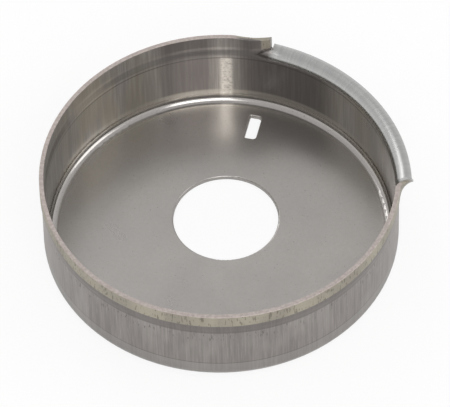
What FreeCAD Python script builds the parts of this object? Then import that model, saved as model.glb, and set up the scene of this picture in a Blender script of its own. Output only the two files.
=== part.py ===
import FreeCAD, Part
import math
import os
import Sketcher

# Deep drawn cup, pressed from one piece of sheet steel. It stands open side up: the origin is on
# the underside of the floor at the centre of the bore, +Z is up and +Y points at the slot in the
# floor. The axis of the wall is off the bore, on the side away from the slot; azimuths are taken
# about it, in degrees from +X towards +Y.
#
# Above the knee the sheet steps out into a slightly wider rim band. Over one sector that band is
# curled outwards and down into a lip. One end of the lip grows out of the rim in a smooth twist.
# At the other end the sheet has torn: a slit parts the lip from an ear of full-height rim, which
# flares outwards.

SIZES = {
    "sheet": 1.5,            # thickness of the sheet
    "wall_radius": 59.5,     # outside of the wall below the knee
    "rim_height": 33.3,      # underside of the floor to the cut edge of the rim
    "corner_bend": 2.7,      # inside radius of the bottom corner
    "knee_drop": 9.5,        # knee, where the rim band starts, below the cut edge
    "joggle_step": 0.5,      # outward step of the rim band
    "joggle_rise": 4.2,      # height over which it steps out
    "rim_round": 0.35,       # outer edge of the cut rim
    "rim_break": 0.2,        # inner edge of the cut rim
    "bore_radius": 17.7,     # hole in the floor
    "bore_offset": 6.5,      # its centre from the axis, towards the slot
    "slot_length": 9.8,      # radial slot in the floor
    "slot_width": 3.95,
    "slot_edge": 6.5,        # outer end of the slot to the inside of the wall
    "slot_corner": 1.2,      # its two corners on the +X side
    "slot_nick": 0.4,        # the other two
    "die_roll": 0.5,         # rounded upper edge of the bore and the slot
    "lip_bend": 2.2,         # inside radius of the lip
    "lip_curl": 118.0,       # angle the lip is turned through
    "lip_tail": 0.45,        # straight end of the lip
    "twist_from": 7.0,       # azimuth where the rim starts to turn over
    "lip_from": 15.5,        # azimuths between which the lip is complete
    "lip_to": 83.0,
    "slit_azimuth": 86.55,   # tear between the lip and the ear
    "slit_width": 0.75,
    "slit_root": 3.7,        # bottom of the tear above the knee
    "ear_flare": 1.9,        # how far the ear leans out beyond the rim
    "ear_rise": 5.4,         # height over which it does
    "ear_fade": 93.0,        # azimuth where the flare has died out
    "rim_dip": 0.5,          # how much lower the rim is beside the ear
    "dip_from": 95.5,        # azimuths over which it comes back up
    "dip_to": 100.0,
}
TWIST_STEPS = 7
TEAR_STEPS = 3
EAR_STEPS = 5
DIP_STEPS = 4

V = FreeCAD.Vector
START, END, CENTRE = 1, 2, 3
AXES = -1                    # a sketch's own axes, whose START is its origin

KNEE = "(Sizes.rim_height - Sizes.knee_drop)"
INSIDE = "(Sizes.wall_radius - Sizes.sheet)"
LIP_MIDDLE = "(Sizes.lip_bend + Sizes.sheet / 2)"

doc = FreeCAD.newDocument("deep_drawn_cup")


def make_sizes():
    sheet = doc.addObject("Spreadsheet::Sheet", "Sizes")
    for row, (name, size) in enumerate(SIZES.items(), start=1):
        sheet.set(f"A{row}", name)
        sheet.set(f"B{row}", f"{size:g}")
        sheet.setAlias(f"B{row}", name)
    doc.recompute()
    return sheet


def value(expression):
    """The number that an expression of the sizes comes to."""
    return float(sizes.evalExpression(expression))


def blend(start, finish, share):
    """Expression part of the way from one expression to another."""
    return f"(({start}) * {1 - share:.6g} + ({finish}) * {share:.6g})"


def ease(share):
    """Share that leaves 0 and reaches 1 gently."""
    return share * share * (3 - 2 * share)


# ------------------------------------------------------------------------------- sketches

def new_sketch(name, role, turn=None):
    """Sketch on an origin plane of the body, turned about the sketch's own upright axis."""
    sketch = body.newObject("Sketcher::SketchObject", name)
    plane = next(item for item in body.Origin.OriginFeatures if item.Role == role)
    sketch.AttachmentSupport = (plane, [""])
    sketch.MapMode = "FlatFace"
    if turn is not None:
        upright = FreeCAD.Rotation(V(0, 1, 0), value(turn))
        sketch.AttachmentOffset = FreeCAD.Placement(V(), upright)
        sketch.setExpression("AttachmentOffset.Rotation.Angle", turn)
    return sketch


def constrain(sketch, relations, dimensions):
    """Adds the relations and the named dimensions, each bound to its expression."""
    sizing = [(kind, *geometry, value(expression))
              for kind, *geometry, expression in dimensions.values()]
    sketch.addConstraint([Sketcher.Constraint(*item) for item in [*relations, *sizing]])
    for index, (name, item) in enumerate(dimensions.items(), start=len(relations)):
        sketch.renameConstraint(index, name)
        sketch.setExpression(f"Constraints.{name}", item[-1])
    doc.recompute()
    if sketch.solve() != 0 or not sketch.FullyConstrained:
        raise RuntimeError(f"{sketch.Name} isn't fully constrained")


def heading(bearing):
    return V(math.cos(math.radians(bearing)), math.sin(math.radians(bearing)))


def line(start, end):
    return Part.LineSegment(start, end)


def arc(centre, radius, first, last):
    """Arc counter-clockwise from one bearing to the other, in degrees."""
    circle = Part.Circle(centre, V(0, 0, 1), radius)
    return Part.ArcOfCircle(circle, math.radians(first), math.radians(last))


def follow_bends(start, radii, turns):
    """Arcs that leave start straight up and turn outwards (+) or inwards (-) in turn, each with
    the ends it is entered and left by; then the last point and its bearing."""
    arcs = []
    point = start
    bearing = 90.0
    for radius, turn in zip(radii, turns):
        side = 90 if turn > 0 else -90
        centre = point + heading(bearing - side) * radius
        first, last = sorted((bearing + side, bearing + side - turn))
        entered, left = (END, START) if turn > 0 else (START, END)
        arcs.append((arc(centre, radius, first, last), entered, left))
        bearing -= turn
        point = centre + heading(bearing + side) * radius
    return arcs, point, bearing


# --------------------------------------------------------------- sections above the knee

class Run:
    """How the sheet runs above the knee at one azimuth, as expressions: the turns of its two
    bends, + for outwards, their lengths and the length of the straight tail beyond them, all
    along the middle of the sheet."""

    def __init__(self, turns, lengths, tail):
        self.turns = turns
        self.lengths = lengths
        self.tail = tail

    def towards(self, other, share):
        return Run([blend(a, b, share) for a, b in zip(self.turns, other.turns)],
                   [blend(a, b, share) for a, b in zip(self.lengths, other.lengths)],
                   blend(self.tail, other.tail, share))

    def radii(self, inner):
        """Radii of the two bends on the inner or the outer face of the sheet."""
        return [f"({length}) / abs({turn}) * 180 / pi"
                f" {'+' if inner == (value(turn) > 0) else '-'} Sizes.sheet / 2"
                for turn, length in zip(self.turns, self.lengths)]


def joggled_run(step="Sizes.joggle_step", rise="Sizes.joggle_rise", dip="0"):
    """The sheet bends out and back again, and ends upright."""
    turn = f"(2 * atan(({step}) / ({rise})) / 1 deg)"
    length = f"(({rise}) / 2 / sin({turn}) * {turn} * pi / 180)"
    return Run([turn, f"-{turn}"], [length, length], f"Sizes.knee_drop - ({rise}) - ({dip})")


def lip_run(first_turn="Sizes.lip_curl / 2", first_length=None):
    """The sheet bends outwards and down."""
    whole = f"({LIP_MIDDLE} * Sizes.lip_curl * pi / 180)"
    first_length = first_length or f"{whole} / 2"
    return Run([first_turn, f"Sizes.lip_curl - ({first_turn})"],
               [first_length, f"{whole} - ({first_length})"], "Sizes.lip_tail")


def sheet_section(name, azimuth, run):
    """Closed section of the sheet from its foot on the knee to its cut edge."""
    sketch = new_sketch(name, "XZ_Plane", azimuth)
    turns = [value(turn) for turn in run.turns]
    knee, inside, gauge = value(KNEE), value(INSIDE), value("Sizes.sheet")
    foot_in, foot_out = V(inside, knee), V(inside + gauge, knee)
    radii_in, radii_out = run.radii(True), run.radii(False)
    inner, bent_in, along = follow_bends(foot_in, [value(r) for r in radii_in], turns)
    outer, bent_out, along = follow_bends(foot_out, [value(r) for r in radii_out], turns)
    round_in, round_out = value("Sizes.rim_break"), value("Sizes.rim_round")
    tail_in = f"{run.tail} - Sizes.rim_break"
    straight_in = bent_in + heading(along) * value(tail_in)
    straight_out = bent_out + heading(along) * (value(tail_in) + round_in - round_out)
    centre_in = straight_in + heading(along - 90) * round_in
    centre_out = straight_out + heading(along + 90) * round_out

    shapes = [
        line(foot_out, foot_in),
        inner[0][0],
        inner[1][0],
        line(bent_in, straight_in),
        arc(centre_in, round_in, along, along + 90),
        line(centre_in + heading(along) * round_in, centre_out + heading(along) * round_out),
        arc(centre_out, round_out, along - 90, along),
        line(straight_out, bent_out),
        outer[1][0],
        outer[0][0],
    ]
    sketch.addGeometry(shapes, False)
    foot, in_1, in_2, in_tail, in_round, cut, out_round, out_tail, out_2, out_1 = range(10)
    (_, in_1_a, in_1_b), (_, in_2_a, in_2_b) = inner
    (_, out_1_a, out_1_b), (_, out_2_a, out_2_b) = outer
    relations = [
        ("Coincident", foot, END, in_1, in_1_a),
        ("Horizontal", foot),
        ("Horizontal", in_1, CENTRE, in_1, in_1_a),
        ("Tangent", in_1, in_1_b, in_2, in_2_a),
        ("Tangent", in_2, in_2_b, in_tail, START),
        ("Tangent", in_tail, END, in_round, END),
        ("Tangent", in_round, START, cut, START),
        ("Tangent", cut, END, out_round, END),
        ("Tangent", out_round, START, out_tail, START),
        ("Perpendicular", in_tail, cut),
        ("Parallel", in_tail, out_tail),
        ("Coincident", out_1, CENTRE, in_1, CENTRE),
        ("Coincident", out_1, out_1_a, foot, START),
        ("Coincident", out_2, CENTRE, in_2, CENTRE),
        ("Coincident", out_2, out_2_a, out_1, out_1_b),
        ("Coincident", out_tail, END, out_2, out_2_b),
    ]
    dimensions = {
        "foot_radius": ("DistanceX", AXES, START, in_1, in_1_a, INSIDE),
        "foot_height": ("DistanceY", AXES, START, in_1, in_1_a, KNEE),
        "gauge": ("DistanceX", foot, END, foot, START, "Sizes.sheet"),
        "bend_1": ("Radius", in_1, radii_in[0]),
        "turn_1": ("Angle", in_1, f"abs({run.turns[0]})"),
        "bend_2": ("Radius", in_2, radii_in[1]),
        "turn_2": ("Angle", in_2, f"abs({run.turns[1]})"),
        "outer_turn_1": ("Angle", out_1, f"abs({run.turns[0]})"),
        "outer_turn_2": ("Angle", out_2, f"abs({run.turns[1]})"),
        "tail": ("Distance", in_tail, tail_in),
        "rim_break": ("Radius", in_round, "Sizes.rim_break"),
        "rim_round": ("Radius", out_round, "Sizes.rim_round"),
    }
    constrain(sketch, relations, dimensions)
    return sketch


# -------------------------------------------------------------------------------- features

def revolve(name, sketch, angle):
    feature = body.newObject("PartDesign::Revolution", name)
    feature.Profile = sketch
    feature.ReferenceAxis = (sketch, ["V_Axis"])
    feature.Angle = value(angle)
    feature.setExpression("Angle", angle)
    doc.recompute()
    return feature


def loft(name, sections):
    feature = body.newObject("PartDesign::AdditiveLoft", name)
    feature.Profile = sections[0]
    feature.Sections = sections[1:]
    doc.recompute()
    return feature


def cut_through(name, sketch):
    """Cuts the sketch's outline through everything on the side its plane faces away from."""
    before = body.Shape.Volume
    feature = body.newObject("PartDesign::Pocket", name)
    feature.Profile = sketch
    feature.Type = "ThroughAll"
    feature.Reversed = True
    doc.recompute()
    if body.Shape.Volume > before - 0.5:
        raise RuntimeError(f"{name} cuts nothing")
    return feature


def draw_cup():
    """Floor, bottom corner and wall up to the knee."""
    sketch = new_sketch("cup_section", "XZ_Plane")
    sheet, bend, knee = value("Sizes.sheet"), value("Sizes.corner_bend"), value(KNEE)
    outside = value("Sizes.wall_radius")
    inside = outside - sheet
    outer_bend = bend + sheet
    centre = V(inside - bend, outer_bend)
    shapes = [
        line(V(0, 0), V(centre.x, 0)),
        arc(centre, outer_bend, -90, 0),
        line(V(outside, outer_bend), V(outside, knee)),
        line(V(outside, knee), V(inside, knee)),
        line(V(inside, knee), V(inside, outer_bend)),
        arc(centre, bend, -90, 0),
        line(V(centre.x, sheet), V(0, sheet)),
        line(V(0, sheet), V(0, 0)),
    ]
    sketch.addGeometry(shapes, False)
    under, out_corner, out_wall, top, in_wall, in_corner, floor, axis = range(8)
    relations = [
        ("Coincident", under, START, AXES, START),
        ("Horizontal", under),
        ("Tangent", under, END, out_corner, START),
        ("Tangent", out_corner, END, out_wall, START),
        ("Coincident", out_wall, END, top, START),
        ("Horizontal", top),
        ("Vertical", out_wall),
        ("Coincident", top, END, in_wall, START),
        ("Vertical", in_wall),
        ("Tangent", in_wall, END, in_corner, END),
        ("Tangent", in_corner, START, floor, START),
        ("Horizontal", floor),
        ("Coincident", floor, END, axis, START),
        ("Vertical", axis),
        ("Coincident", axis, END, under, START),
        ("Coincident", in_corner, CENTRE, out_corner, CENTRE),
    ]
    dimensions = {
        "outside": ("DistanceX", AXES, START, out_wall, END, "Sizes.wall_radius"),
        "knee": ("DistanceY", AXES, START, out_wall, END, KNEE),
        "gauge": ("DistanceY", axis, END, axis, START, "Sizes.sheet"),
        "bend": ("Radius", in_corner, "Sizes.corner_bend"),
    }
    constrain(sketch, relations, dimensions)
    revolve("drawn_cup", sketch, "360")


def twist_rim(rim, lip):
    """The rim turns over into the lip."""
    sections = []
    for step in range(TWIST_STEPS + 1):
        share = step / TWIST_STEPS
        azimuth = blend("Sizes.twist_from", "Sizes.lip_from", share)
        sections.append(sheet_section(f"twist_{step}", azimuth, rim.towards(lip, share ** 2)))
    loft("twist", sections)


def turn_lip(lip):
    section = sheet_section("lip_section", "Sizes.lip_from", lip)
    revolve("lip", section, "Sizes.lip_to - Sizes.lip_from")


def end_lip_at_tear(lip, torn):
    """Towards the tear the lip keeps more of the slope that the ear has."""
    sections = []
    for step in range(TEAR_STEPS + 1):
        share = step / TEAR_STEPS
        azimuth = blend("Sizes.lip_to", "Sizes.slit_azimuth", share)
        sections.append(sheet_section(f"torn_{step}", azimuth, lip.towards(torn, ease(share))))
    loft("torn_end", sections)


def ear_step(share):
    """Outward step of the rim band, part of the way from the plain rim to the tear."""
    return f"(Sizes.joggle_step + Sizes.ear_flare * {share ** 1.5:.6g})"


def ear_rise(share):
    return blend("Sizes.joggle_rise", "Sizes.ear_rise", share)


def flare_ear():
    """From the tear the ear straightens back into the rim, then the rim comes up to its full
    height."""
    sections = []
    for step in range(EAR_STEPS + 1):
        share = 1 - step / EAR_STEPS
        azimuth = blend("Sizes.ear_fade", "Sizes.slit_azimuth", share)
        run = joggled_run(ear_step(share), ear_rise(share), "Sizes.rim_dip")
        sections.append(sheet_section(f"ear_{step}", azimuth, run))
    for step in range(DIP_STEPS + 1):
        share = step / DIP_STEPS
        azimuth = blend("Sizes.dip_from", "Sizes.dip_to", share)
        run = joggled_run(dip=f"Sizes.rim_dip * {1 - ease(share):.6g}")
        sections.append(sheet_section(f"dip_{step}", azimuth, run))
    loft("ear", sections)


def turn_rim(rim):
    """The plain rim, from the ear round to the twist."""
    section = sheet_section("rim_section", "Sizes.dip_to", rim)
    revolve("rim", section, "360 - Sizes.dip_to + Sizes.twist_from")


def tear_slit():
    """Narrow slit between the lip and the ear, open at the top, with a round root."""
    sketch = new_sketch("slit_outline", "XZ_Plane", "Sizes.slit_azimuth + 90")
    half = value("Sizes.slit_width / 2")
    root = value(f"{KNEE} + Sizes.slit_root")
    top = value("Sizes.rim_height + Sizes.sheet")
    shapes = [
        arc(V(0, root + half), half, 180, 360),
        line(V(half, root + half), V(half, top)),
        line(V(half, top), V(-half, top)),
        line(V(-half, top), V(-half, root + half)),
    ]
    sketch.addGeometry(shapes, False)
    bottom, right, lid, left = range(4)
    relations = [
        ("Tangent", bottom, END, right, START),
        ("Coincident", right, END, lid, START),
        ("Coincident", lid, END, left, START),
        ("Tangent", left, END, bottom, START),
        ("Vertical", right),
        ("Vertical", left),
        ("Horizontal", lid),
        ("PointOnObject", bottom, CENTRE, -2),
    ]
    dimensions = {
        "width": ("Radius", bottom, "Sizes.slit_width / 2"),
        "root": ("DistanceY", AXES, START, bottom, CENTRE,
                 f"{KNEE} + Sizes.slit_root + Sizes.slit_width / 2"),
        "top": ("DistanceY", AXES, START, right, END, "Sizes.rim_height + Sizes.sheet"),
    }
    constrain(sketch, relations, dimensions)
    cut_through("slit", sketch)


def punch_bore():
    sketch = new_sketch("bore_outline", "XY_Plane")
    centre = V(0, value("Sizes.bore_offset"))
    sketch.addGeometry([Part.Circle(centre, V(0, 0, 1), value("Sizes.bore_radius"))], False)
    relations = [("PointOnObject", 0, CENTRE, -2)]
    dimensions = {
        "offset": ("DistanceY", AXES, START, 0, CENTRE, "Sizes.bore_offset"),
        "radius": ("Radius", 0, "Sizes.bore_radius"),
    }
    constrain(sketch, relations, dimensions)
    cut_through("bore", sketch)


def punch_slot():
    """Radial slot: its two corners on the +X side are rounder than the other two."""
    sketch = new_sketch("slot_outline", "XY_Plane")
    half = value("Sizes.slot_width / 2")
    far = value(f"{INSIDE} - Sizes.slot_edge")
    near = far - value("Sizes.slot_length")
    big, small = value("Sizes.slot_corner"), value("Sizes.slot_nick")
    shapes = [
        line(V(-half + small, near), V(half - big, near)),
        arc(V(half - big, near + big), big, 270, 360),
        line(V(half, near + big), V(half, far - big)),
        arc(V(half - big, far - big), big, 0, 90),
        line(V(half - big, far), V(-half + small, far)),
        arc(V(-half + small, far - small), small, 90, 180),
        line(V(-half, far - small), V(-half, near + small)),
        arc(V(-half + small, near + small), small, 180, 270),
    ]
    sketch.addGeometry(shapes, False)
    relations = [("Tangent", index, END, (index + 1) % 8, START) for index in range(8)]
    relations += [("Horizontal", 0), ("Horizontal", 4), ("Vertical", 2), ("Vertical", 6)]
    relations += [("Equal", 1, 3), ("Equal", 5, 7)]
    dimensions = {
        "half_width": ("DistanceX", AXES, START, 2, START, "Sizes.slot_width / 2"),
        "width": ("DistanceX", 6, START, 2, END, "Sizes.slot_width"),
        "far_end": ("DistanceY", AXES, START, 4, START, f"{INSIDE} - Sizes.slot_edge"),
        "length": ("DistanceY", 0, END, 4, START, "Sizes.slot_length"),
        "corner": ("Radius", 1, "Sizes.slot_corner"),
        "nick": ("Radius", 5, "Sizes.slot_nick"),
    }
    constrain(sketch, relations, dimensions)
    cut_through("slot", sketch)


def roll_edges():
    """The punches have drawn the upper edges of the bore and the slot down into a roll."""
    punched = body.Tip
    floor = value("Sizes.sheet")
    corner = value(f"{INSIDE} - Sizes.corner_bend")
    names = []
    for index, edge in enumerate(punched.Shape.Edges, start=1):
        box = edge.BoundBox
        on_floor = abs(box.ZMin - floor) < 1e-4 and abs(box.ZMax - floor) < 1e-4
        start = edge.firstVertex().Point
        if on_floor and math.hypot(start.x, start.y) < corner - 0.5:
            names.append(f"Edge{index}")
    feature = body.newObject("PartDesign::Fillet", "die_roll")
    feature.Base = (punched, names)
    feature.Radius = value("Sizes.die_roll")
    feature.setExpression("Radius", "Sizes.die_roll")
    doc.recompute()
    return feature


def check_document():
    for item in doc.Objects:
        if {"Invalid", "Error"} & set(item.State):
            raise RuntimeError(f"{item.Name} is {item.State}")
        shape = getattr(item, "Shape", None)
        if shape is not None and (shape.isNull() or not shape.isValid()):
            raise RuntimeError(f"{item.Name} has a bad shape")
    if len(body.Shape.Solids) != 1:
        raise RuntimeError("the cup isn't one solid")


sizes = make_sizes()
body = doc.addObject("PartDesign::Body", "Cup")
body.Label = "cup"
body.setExpression("Placement.Base.y", "-Sizes.bore_offset")
plain_rim = joggled_run()
full_lip = lip_run()
torn_tip = joggled_run(ear_step(1), ear_rise(1))

draw_cup()
turn_rim(plain_rim)
twist_rim(plain_rim, full_lip)
turn_lip(full_lip)
end_lip_at_tear(full_lip, lip_run(torn_tip.turns[0], torn_tip.lengths[0]))
flare_ear()
tear_slit()
punch_bore()
punch_slot()
roll_edges()

check_document()
os.makedirs("parts", exist_ok=True)
body.Shape.exportStep(os.path.join("parts", f"{body.Label}.step"))
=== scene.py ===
import math

import bpy
from mathutils import Matrix, Vector

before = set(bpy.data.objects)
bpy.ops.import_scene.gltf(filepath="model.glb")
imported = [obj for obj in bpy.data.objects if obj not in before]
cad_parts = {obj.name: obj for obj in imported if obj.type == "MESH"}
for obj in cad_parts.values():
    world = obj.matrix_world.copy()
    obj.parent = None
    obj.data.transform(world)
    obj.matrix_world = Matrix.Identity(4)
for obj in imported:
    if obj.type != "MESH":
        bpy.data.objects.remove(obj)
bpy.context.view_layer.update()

# The cup's own sizes, in metres, as its source has them.
AXIS_Y = -0.0065            # axis of the wall; the origin is the centre of the bore
SHEET_MIDDLE = 0.05875      # radius of the middle of the wall
KNEE = 0.0238               # where the rim band starts
BAND_OUT = 0.0280           # where it is fully stepped out
RIM = 0.0333
LIP_FROM, LIP_TO = math.radians(12.0), math.radians(86.5)

# Heights of the marks, painted shade and painted reflection on the wall, in metres.
BAND_FOOT, BAND_EDGE = 0.0241, 0.0285       # painted shade on the joggle, under the pale rim band
# painted shade line inside, at the joggle bend
JOGGLE_SHADE_LINE = (0.0231, 0.0236)
FOOT_LINE = (0.0078, 0.0081)
PAINTED_REFLECTION_FOOT = (0.0034, 0.0066)                # painted reflection, a light zone over the bottom corner, inside
SCUFFED = (0.0205, 0.0240)


# ------------------------------------------------------------------------- shader language

GENERATED, OBJECT = 0, 3                    # outputs of the Texture Coordinate node
CAMERA_RAY = 0                              # output of the Light Path node


class Term:
    """A node socket that takes part in arithmetic."""

    def __init__(self, graph, socket):
        self.graph = graph
        self.socket = socket

    def math(self, operation, *others):
        return self.graph.node("ShaderNodeMath", {"operation": operation}, self, *others)

    def __add__(self, other):
        return self.math("ADD", other)

    def __radd__(self, other):
        return self + other

    def __sub__(self, other):
        return self.math("SUBTRACT", other)

    def __rsub__(self, other):
        return self.graph.node("ShaderNodeMath", {"operation": "SUBTRACT"}, other, self)

    def __mul__(self, other):
        return self.math("MULTIPLY", other)

    def __rmul__(self, other):
        return self * other

    def __truediv__(self, other):
        return self.math("DIVIDE", other)

    def above(self, edge, blur):
        """0 below the edge and 1 above it, over the blur."""
        settings = {"interpolation_type": "SMOOTHSTEP"}
        return self.graph.node("ShaderNodeMapRange", settings, self, edge - blur / 2,
                               edge + blur / 2, 0.0, 1.0)

    def below(self, edge, blur):
        return 1.0 - self.above(edge, blur)

    def between(self, low, high, blur):
        return self.above(low, blur) * self.below(high, blur)


class Graph:
    """The node tree of a material or a world."""

    def __init__(self, owner):
        owner.use_nodes = True
        self.tree = owner.node_tree
        self.tree.nodes.clear()

    def raw(self, kind, settings=None, *values, **named):
        node = self.tree.nodes.new(kind)
        for name, setting in (settings or {}).items():
            setattr(node, name, setting)
        for key, given in [*enumerate(values), *named.items()]:
            socket = node.inputs[key if isinstance(key, int) else key.replace("_", " ")]
            if isinstance(given, Term):
                self.tree.links.new(given.socket, socket)
            elif given is not None:
                socket.default_value = given
        return node

    def node(self, kind, settings=None, *values, output=0, **named):
        return Term(self, self.raw(kind, settings, *values, **named).outputs[output])

    def mix(self, share, first, second):
        """Colour between two colours."""
        node = self.raw("ShaderNodeMix", {"data_type": "RGBA"})
        for index, given in ((0, share), (6, first), (7, second)):
            if isinstance(given, Term):
                self.tree.links.new(given.socket, node.inputs[index])
            else:
                node.inputs[index].default_value = given
        return Term(self, node.outputs[2])

    def vector(self, x, y, z):
        return self.node("ShaderNodeCombineXYZ", None, x, y, z)

    def noise(self, vector, scale, detail=3.0, roughness=0.55):
        return self.node("ShaderNodeTexNoise", None, Vector=vector, Scale=scale, Detail=detail,
                         Roughness=roughness)

    def output(self, shader):
        self.raw("ShaderNodeOutputMaterial", None, Surface=shader)

    def split(self, vector):
        node = self.raw("ShaderNodeSeparateXYZ", None, vector)
        return [Term(self, socket) for socket in node.outputs]


def tone(red, green, blue):
    """Colour from screen values 0 to 255."""
    def linear(level):
        level /= 255
        return level / 12.92 if level < 0.04045 else ((level + 0.055) / 1.055) ** 2.4
    return (linear(red), linear(green), linear(blue), 1.0)


# ------------------------------------------------------------------------------- the steel

def drawn_steel():
    """Bare drawn steel: lines of the draw up the wall, die marks round it, a cut rim."""
    steel = bpy.data.materials.new("drawn_steel")
    g = Graph(steel)
    place = g.node("ShaderNodeTexCoord", output=OBJECT)
    x, y, z = g.split(place)
    y = y - AXIS_Y
    radius = g.node("ShaderNodeMath", {"operation": "SQRT"}, x * x + y * y)
    azimuth = y.math("ARCTAN2", x)
    cos_a, sin_a = x / radius, y / radius

    step_out = z.above((KNEE + BAND_OUT) / 2, BAND_OUT - KNEE) * 0.0005
    wall = radius.above(0.0563, 0.0010) * z.above(0.0030, 0.0020)
    outside = (radius - step_out).above(SHEET_MIDDLE, 0.0004)
    outside = outside.math("MAXIMUM", z.below(0.0010, 0.0004))
    inner_wall = wall * (1.0 - outside)
    outer_wall = wall * outside
    floor = 1.0 - wall
    lip = azimuth.between(LIP_FROM, LIP_TO, math.radians(3.0)) * z.above(0.0250, 0.0024)
    band = z.above(BAND_EDGE - 0.00005, 0.0003) * (1.0 - lip)
    cut = z.above(RIM - 0.00025, 0.0002) * (1.0 - lip)

    # Lines of the draw: noise that is long up the wall and short round it.
    around = g.vector(cos_a * 0.06, sin_a * 0.06, z * 0.04)
    fine = g.noise(around, 2600.0, 2.0)
    broad = g.noise(around, 1050.0, 3.0)
    patches = g.noise(g.vector(cos_a * 0.06, sin_a * 0.06, z * 0.35), 70.0, 3.0)
    mottle = g.noise(place, 900.0, 3.0, 0.6)
    cloud = g.noise(place, 38.0, 3.0)
    grain = g.noise(place, 5200.0, 1.0)
    marks = g.noise(g.vector(cos_a * 0.06, sin_a * 0.06, z * 0.22), 1500.0, 2.0, 0.6)

    # Floor: a smooth grey with a faint mottle, and tiny dark specks.
    specks = g.noise(place, 1900.0, 0.0).above(0.80, 0.04)
    base = g.mix(cloud.above(0.5, 0.5), tone(180, 176, 173), tone(188, 184, 180))
    base = g.mix(mottle.above(0.5, 0.4) * 0.12, base, tone(150, 147, 144))
    base = g.mix(specks * 0.5, base, tone(100, 97, 94))

    # Inside of the wall: grey, with olive and brown runs where the lubricant burnt on; painted
    # shade in dark zones and round the joggle, a painted highlight stripe and painted reflection
    # over the foot.
    olive = (azimuth.between(math.radians(128.0), math.radians(172.0), math.radians(22.0))
             + azimuth.between(math.radians(30.0), math.radians(66.0), math.radians(22.0)))
    inner = g.mix(broad.above(0.52, 0.3), tone(158, 154, 150), tone(180, 176, 171))
    inner = g.mix(olive * patches.above(0.47, 0.2) * 0.5, inner, tone(172, 165, 146))
    # Painted shade: two zones of the inner wall darkened, standing in for dark reflections.
    painted_shade_zone = azimuth.between(math.radians(64.0), math.radians(98.0), math.radians(12.0))
    painted_shade_zone = painted_shade_zone + azimuth.between(math.radians(105.5), math.radians(124.0),
                                            math.radians(7.0))
    inner = g.mix(painted_shade_zone * 0.75, inner, tone(98, 93, 92))
    # Painted highlight: a bright stripe up the inner wall, below the joggle.
    painted_highlight_stripe = azimuth.between(math.radians(99.6), math.radians(103.4), math.radians(1.6))
    painted_highlight_stripe = painted_highlight_stripe * mottle.above(0.40, 0.35) * z.below(0.0235, 0.0006)
    inner = g.mix(painted_highlight_stripe * 0.85, inner, tone(236, 232, 224))
    # Painted shade: a thin dark line at the inside of the joggle bend.
    inner = g.mix(z.between(*JOGGLE_SHADE_LINE, 0.0003) * 0.6, inner, tone(84, 82, 80))
    # Painted shade: the inner wall just above the joggle darkened.
    painted_shade_above_joggle = z.between(0.0246, 0.0272, 0.0008) * (1.0 - lip)
    inner = g.mix(painted_shade_above_joggle * 0.45, inner, tone(104, 100, 97))
    # Painted reflection: a lighter zone on the inner wall over the bottom corner.
    inner = g.mix(z.between(*PAINTED_REFLECTION_FOOT, 0.0012) * 0.4, inner, tone(206, 202, 190))
    base = g.mix(inner_wall, base, inner)

    # Outside of the wall: pinkish grey with pale streaks, a burnished foot and painted shade on
    # the joggle.
    outer = g.mix(broad.above(0.50, 0.3), tone(142, 137, 134), tone(158, 152, 149))
    outer = g.mix(fine.above(0.60, 0.12) * 0.25, outer, tone(192, 187, 184))
    outer = g.mix(patches.above(0.55, 0.12) * 0.25, outer, tone(190, 185, 180))
    outer = g.mix(z.below(0.0079, 0.0004) * 0.45, outer, tone(170, 168, 166))
    outer = g.mix(z.between(*FOOT_LINE, 0.0002) * 0.55, outer, tone(96, 92, 90))
    # Painted shade: the joggle band under the rim band darkened.
    painted_shade_band = z.between(BAND_FOOT, BAND_EDGE, 0.0004) * (1.0 - lip)
    outer = g.mix(painted_shade_band * 0.55, outer, tone(104, 98, 95))
    pale_band = g.mix(patches.above(0.5, 0.3), tone(164, 158, 146), tone(182, 176, 160))
    outer = g.mix(band, outer, pale_band)
    outer = g.mix(band * marks.above(0.60, 0.08) * 0.6, outer, tone(106, 99, 88))
    scuffs = marks.above(0.63, 0.05) * z.between(*SCUFFED, 0.0015)
    outer = g.mix(scuffs * 0.6, outer, tone(88, 84, 82))
    base = g.mix(outer_wall, base, outer)

    # Lip: smooth and blank where it bends. The cut edge shows the grain of the shear.
    bent = g.mix(broad.above(0.5, 0.4), tone(182, 183, 182), tone(192, 192, 190))
    sheared = g.mix(mottle.above(0.5, 0.4), tone(184, 173, 168), tone(204, 194, 189))
    base = g.mix(lip, base, bent)
    base = g.mix(cut, base, sheared)
    base = g.mix(grain.above(0.5, 0.5) * 0.12, base, tone(110, 108, 105))

    polish = 0.24 + 0.10 * cloud + 0.16 * band + 0.10 * outer_wall * broad + 0.14 * cut
    corner = radius.between(0.0548, 0.0584, 0.0004) * z.below(0.0045, 0.0008)
    polish = polish - 0.06 * lip - 0.12 * corner
    lines = (fine * 0.6 + broad * 0.8) * wall * (1.0 - lip)
    height = lines + (mottle * 0.2 + grain * 0.1) * (0.5 + 0.5 * floor)
    bump = g.node("ShaderNodeBump", None, Strength=0.16, Distance=0.00005, Height=height)
    shader = g.node("ShaderNodeBsdfPrincipled", None, Base_Color=base, Metallic=1.0,
                    Roughness=polish, Normal=bump)
    g.output(shader)
    return steel


# ------------------------------------------------------------------------ floor and light

def pale_floor():
    """Wide pale floor; it looks white and keeps a faint shadow of the cup."""
    pale = bpy.data.materials.new("pale_floor")
    g = Graph(pale)
    seen = g.node("ShaderNodeLightPath", output=CAMERA_RAY)
    matt = g.node("ShaderNodeBsdfDiffuse", None, (0.92, 0.92, 0.92, 1.0))
    white = g.node("ShaderNodeEmission", None, (1.0, 1.0, 1.0, 1.0), 1.0)
    g.output(g.node("ShaderNodeMixShader", None, seen * 0.86, matt, white))
    half, height = 3.0, -0.0002
    corners = [(-half, -half), (half, -half), (half, half), (-half, half)]
    mesh = bpy.data.meshes.new("floor")
    mesh.from_pydata([(x, y, height) for x, y in corners], [], [(0, 1, 2, 3)])
    mesh.materials.append(pale)
    floor = bpy.data.objects.new("floor", mesh)
    bpy.context.scene.collection.objects.link(floor)


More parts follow.
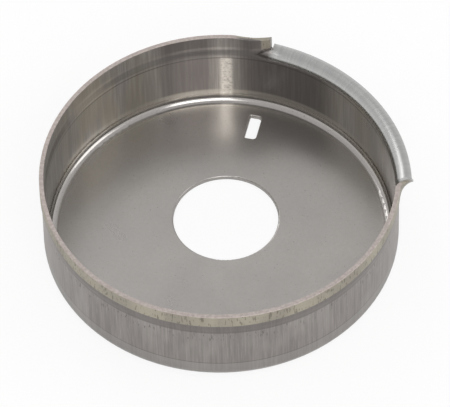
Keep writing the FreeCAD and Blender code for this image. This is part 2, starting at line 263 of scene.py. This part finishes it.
def studio():
    """White seen behind the cup; for the light on it, brighter low down than overhead."""
    low, high = 0.15, 0.85                  # sines of the heights that it falls between
    bright, dim = 1.0, 0.70
    world = bpy.data.worlds.new("studio")
    g = Graph(world)
    rise = g.split(g.node("ShaderNodeTexCoord", output=GENERATED))[2]
    fall = g.node("ShaderNodeMapRange", {"interpolation_type": "SMOOTHSTEP"}, rise, low, high,
                  bright, dim)
    level = fall.math("MAXIMUM", g.node("ShaderNodeLightPath", output=CAMERA_RAY))
    background = g.node("ShaderNodeBackground", None, (1.0, 1.0, 1.0, 1.0), level)
    g.raw("ShaderNodeOutputWorld", None, background)
    bpy.context.scene.world = world
    bpy.context.scene.view_settings.view_transform = "Standard"


def softbox(name, place, size, power):
    """Square lamp that faces the cup."""
    lamp = bpy.data.lights.new(name, "AREA")
    lamp.shape = "SQUARE"
    lamp.size = size
    lamp.energy = power
    box = bpy.data.objects.new(name, lamp)
    box.location = place
    box.rotation_euler = (-Vector(place)).to_track_quat("-Z", "Y").to_euler()
    bpy.context.scene.collection.objects.link(box)


def make_camera():
    """Long lens, 52 degrees above the horizon, a little to the left of the slot's line."""
    azimuth, elevation, roll = map(math.radians, (14.5, 52.1067, -1.4207))
    distance = 2.014176     # to the cup's axis
    lens = 13.3333          # focal length in frame widths
    pan_x, pan_y = -0.00804, 0.0706     # from the middle of the frame to the cup's axis
    back = Vector((math.sin(azimuth) * math.cos(elevation),
                   -math.cos(azimuth) * math.cos(elevation), math.sin(elevation)))
    level = Vector((math.cos(azimuth), math.sin(azimuth), 0.0))
    upright = back.cross(level)
    right = level * math.cos(roll) + upright * math.sin(roll)
    up = upright * math.cos(roll) - level * math.sin(roll)
    look = (-back - right * (pan_x / lens) + up * (pan_y / lens)).normalized()
    right = look.cross(up).normalized()
    up = right.cross(look)
    data = bpy.data.cameras.new("camera")
    data.sensor_width = 36.0
    data.lens = lens * data.sensor_width
    data.clip_start = 0.05
    data.clip_end = 50.0
    camera = bpy.data.objects.new("camera", data)
    turn = Matrix((right, up, -look)).transposed().to_4x4()
    camera.matrix_world = Matrix.Translation(Vector((0.0, AXIS_Y, 0.0)) + back * distance) @ turn
    bpy.context.scene.collection.objects.link(camera)
    bpy.context.scene.camera = camera


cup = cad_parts["cup"]
cup.data.materials.clear()
cup.data.materials.append(drawn_steel())
pale_floor()
studio()
softbox("front_box", (0.5, -1.1, 1.25), 0.9, 7.0)
softbox("back_left_box", (-0.9, 1.0, 1.1), 0.7, 3.0)
softbox("right_box", (1.3, 0.2, 0.9), 0.7, 2.5)
make_camera()
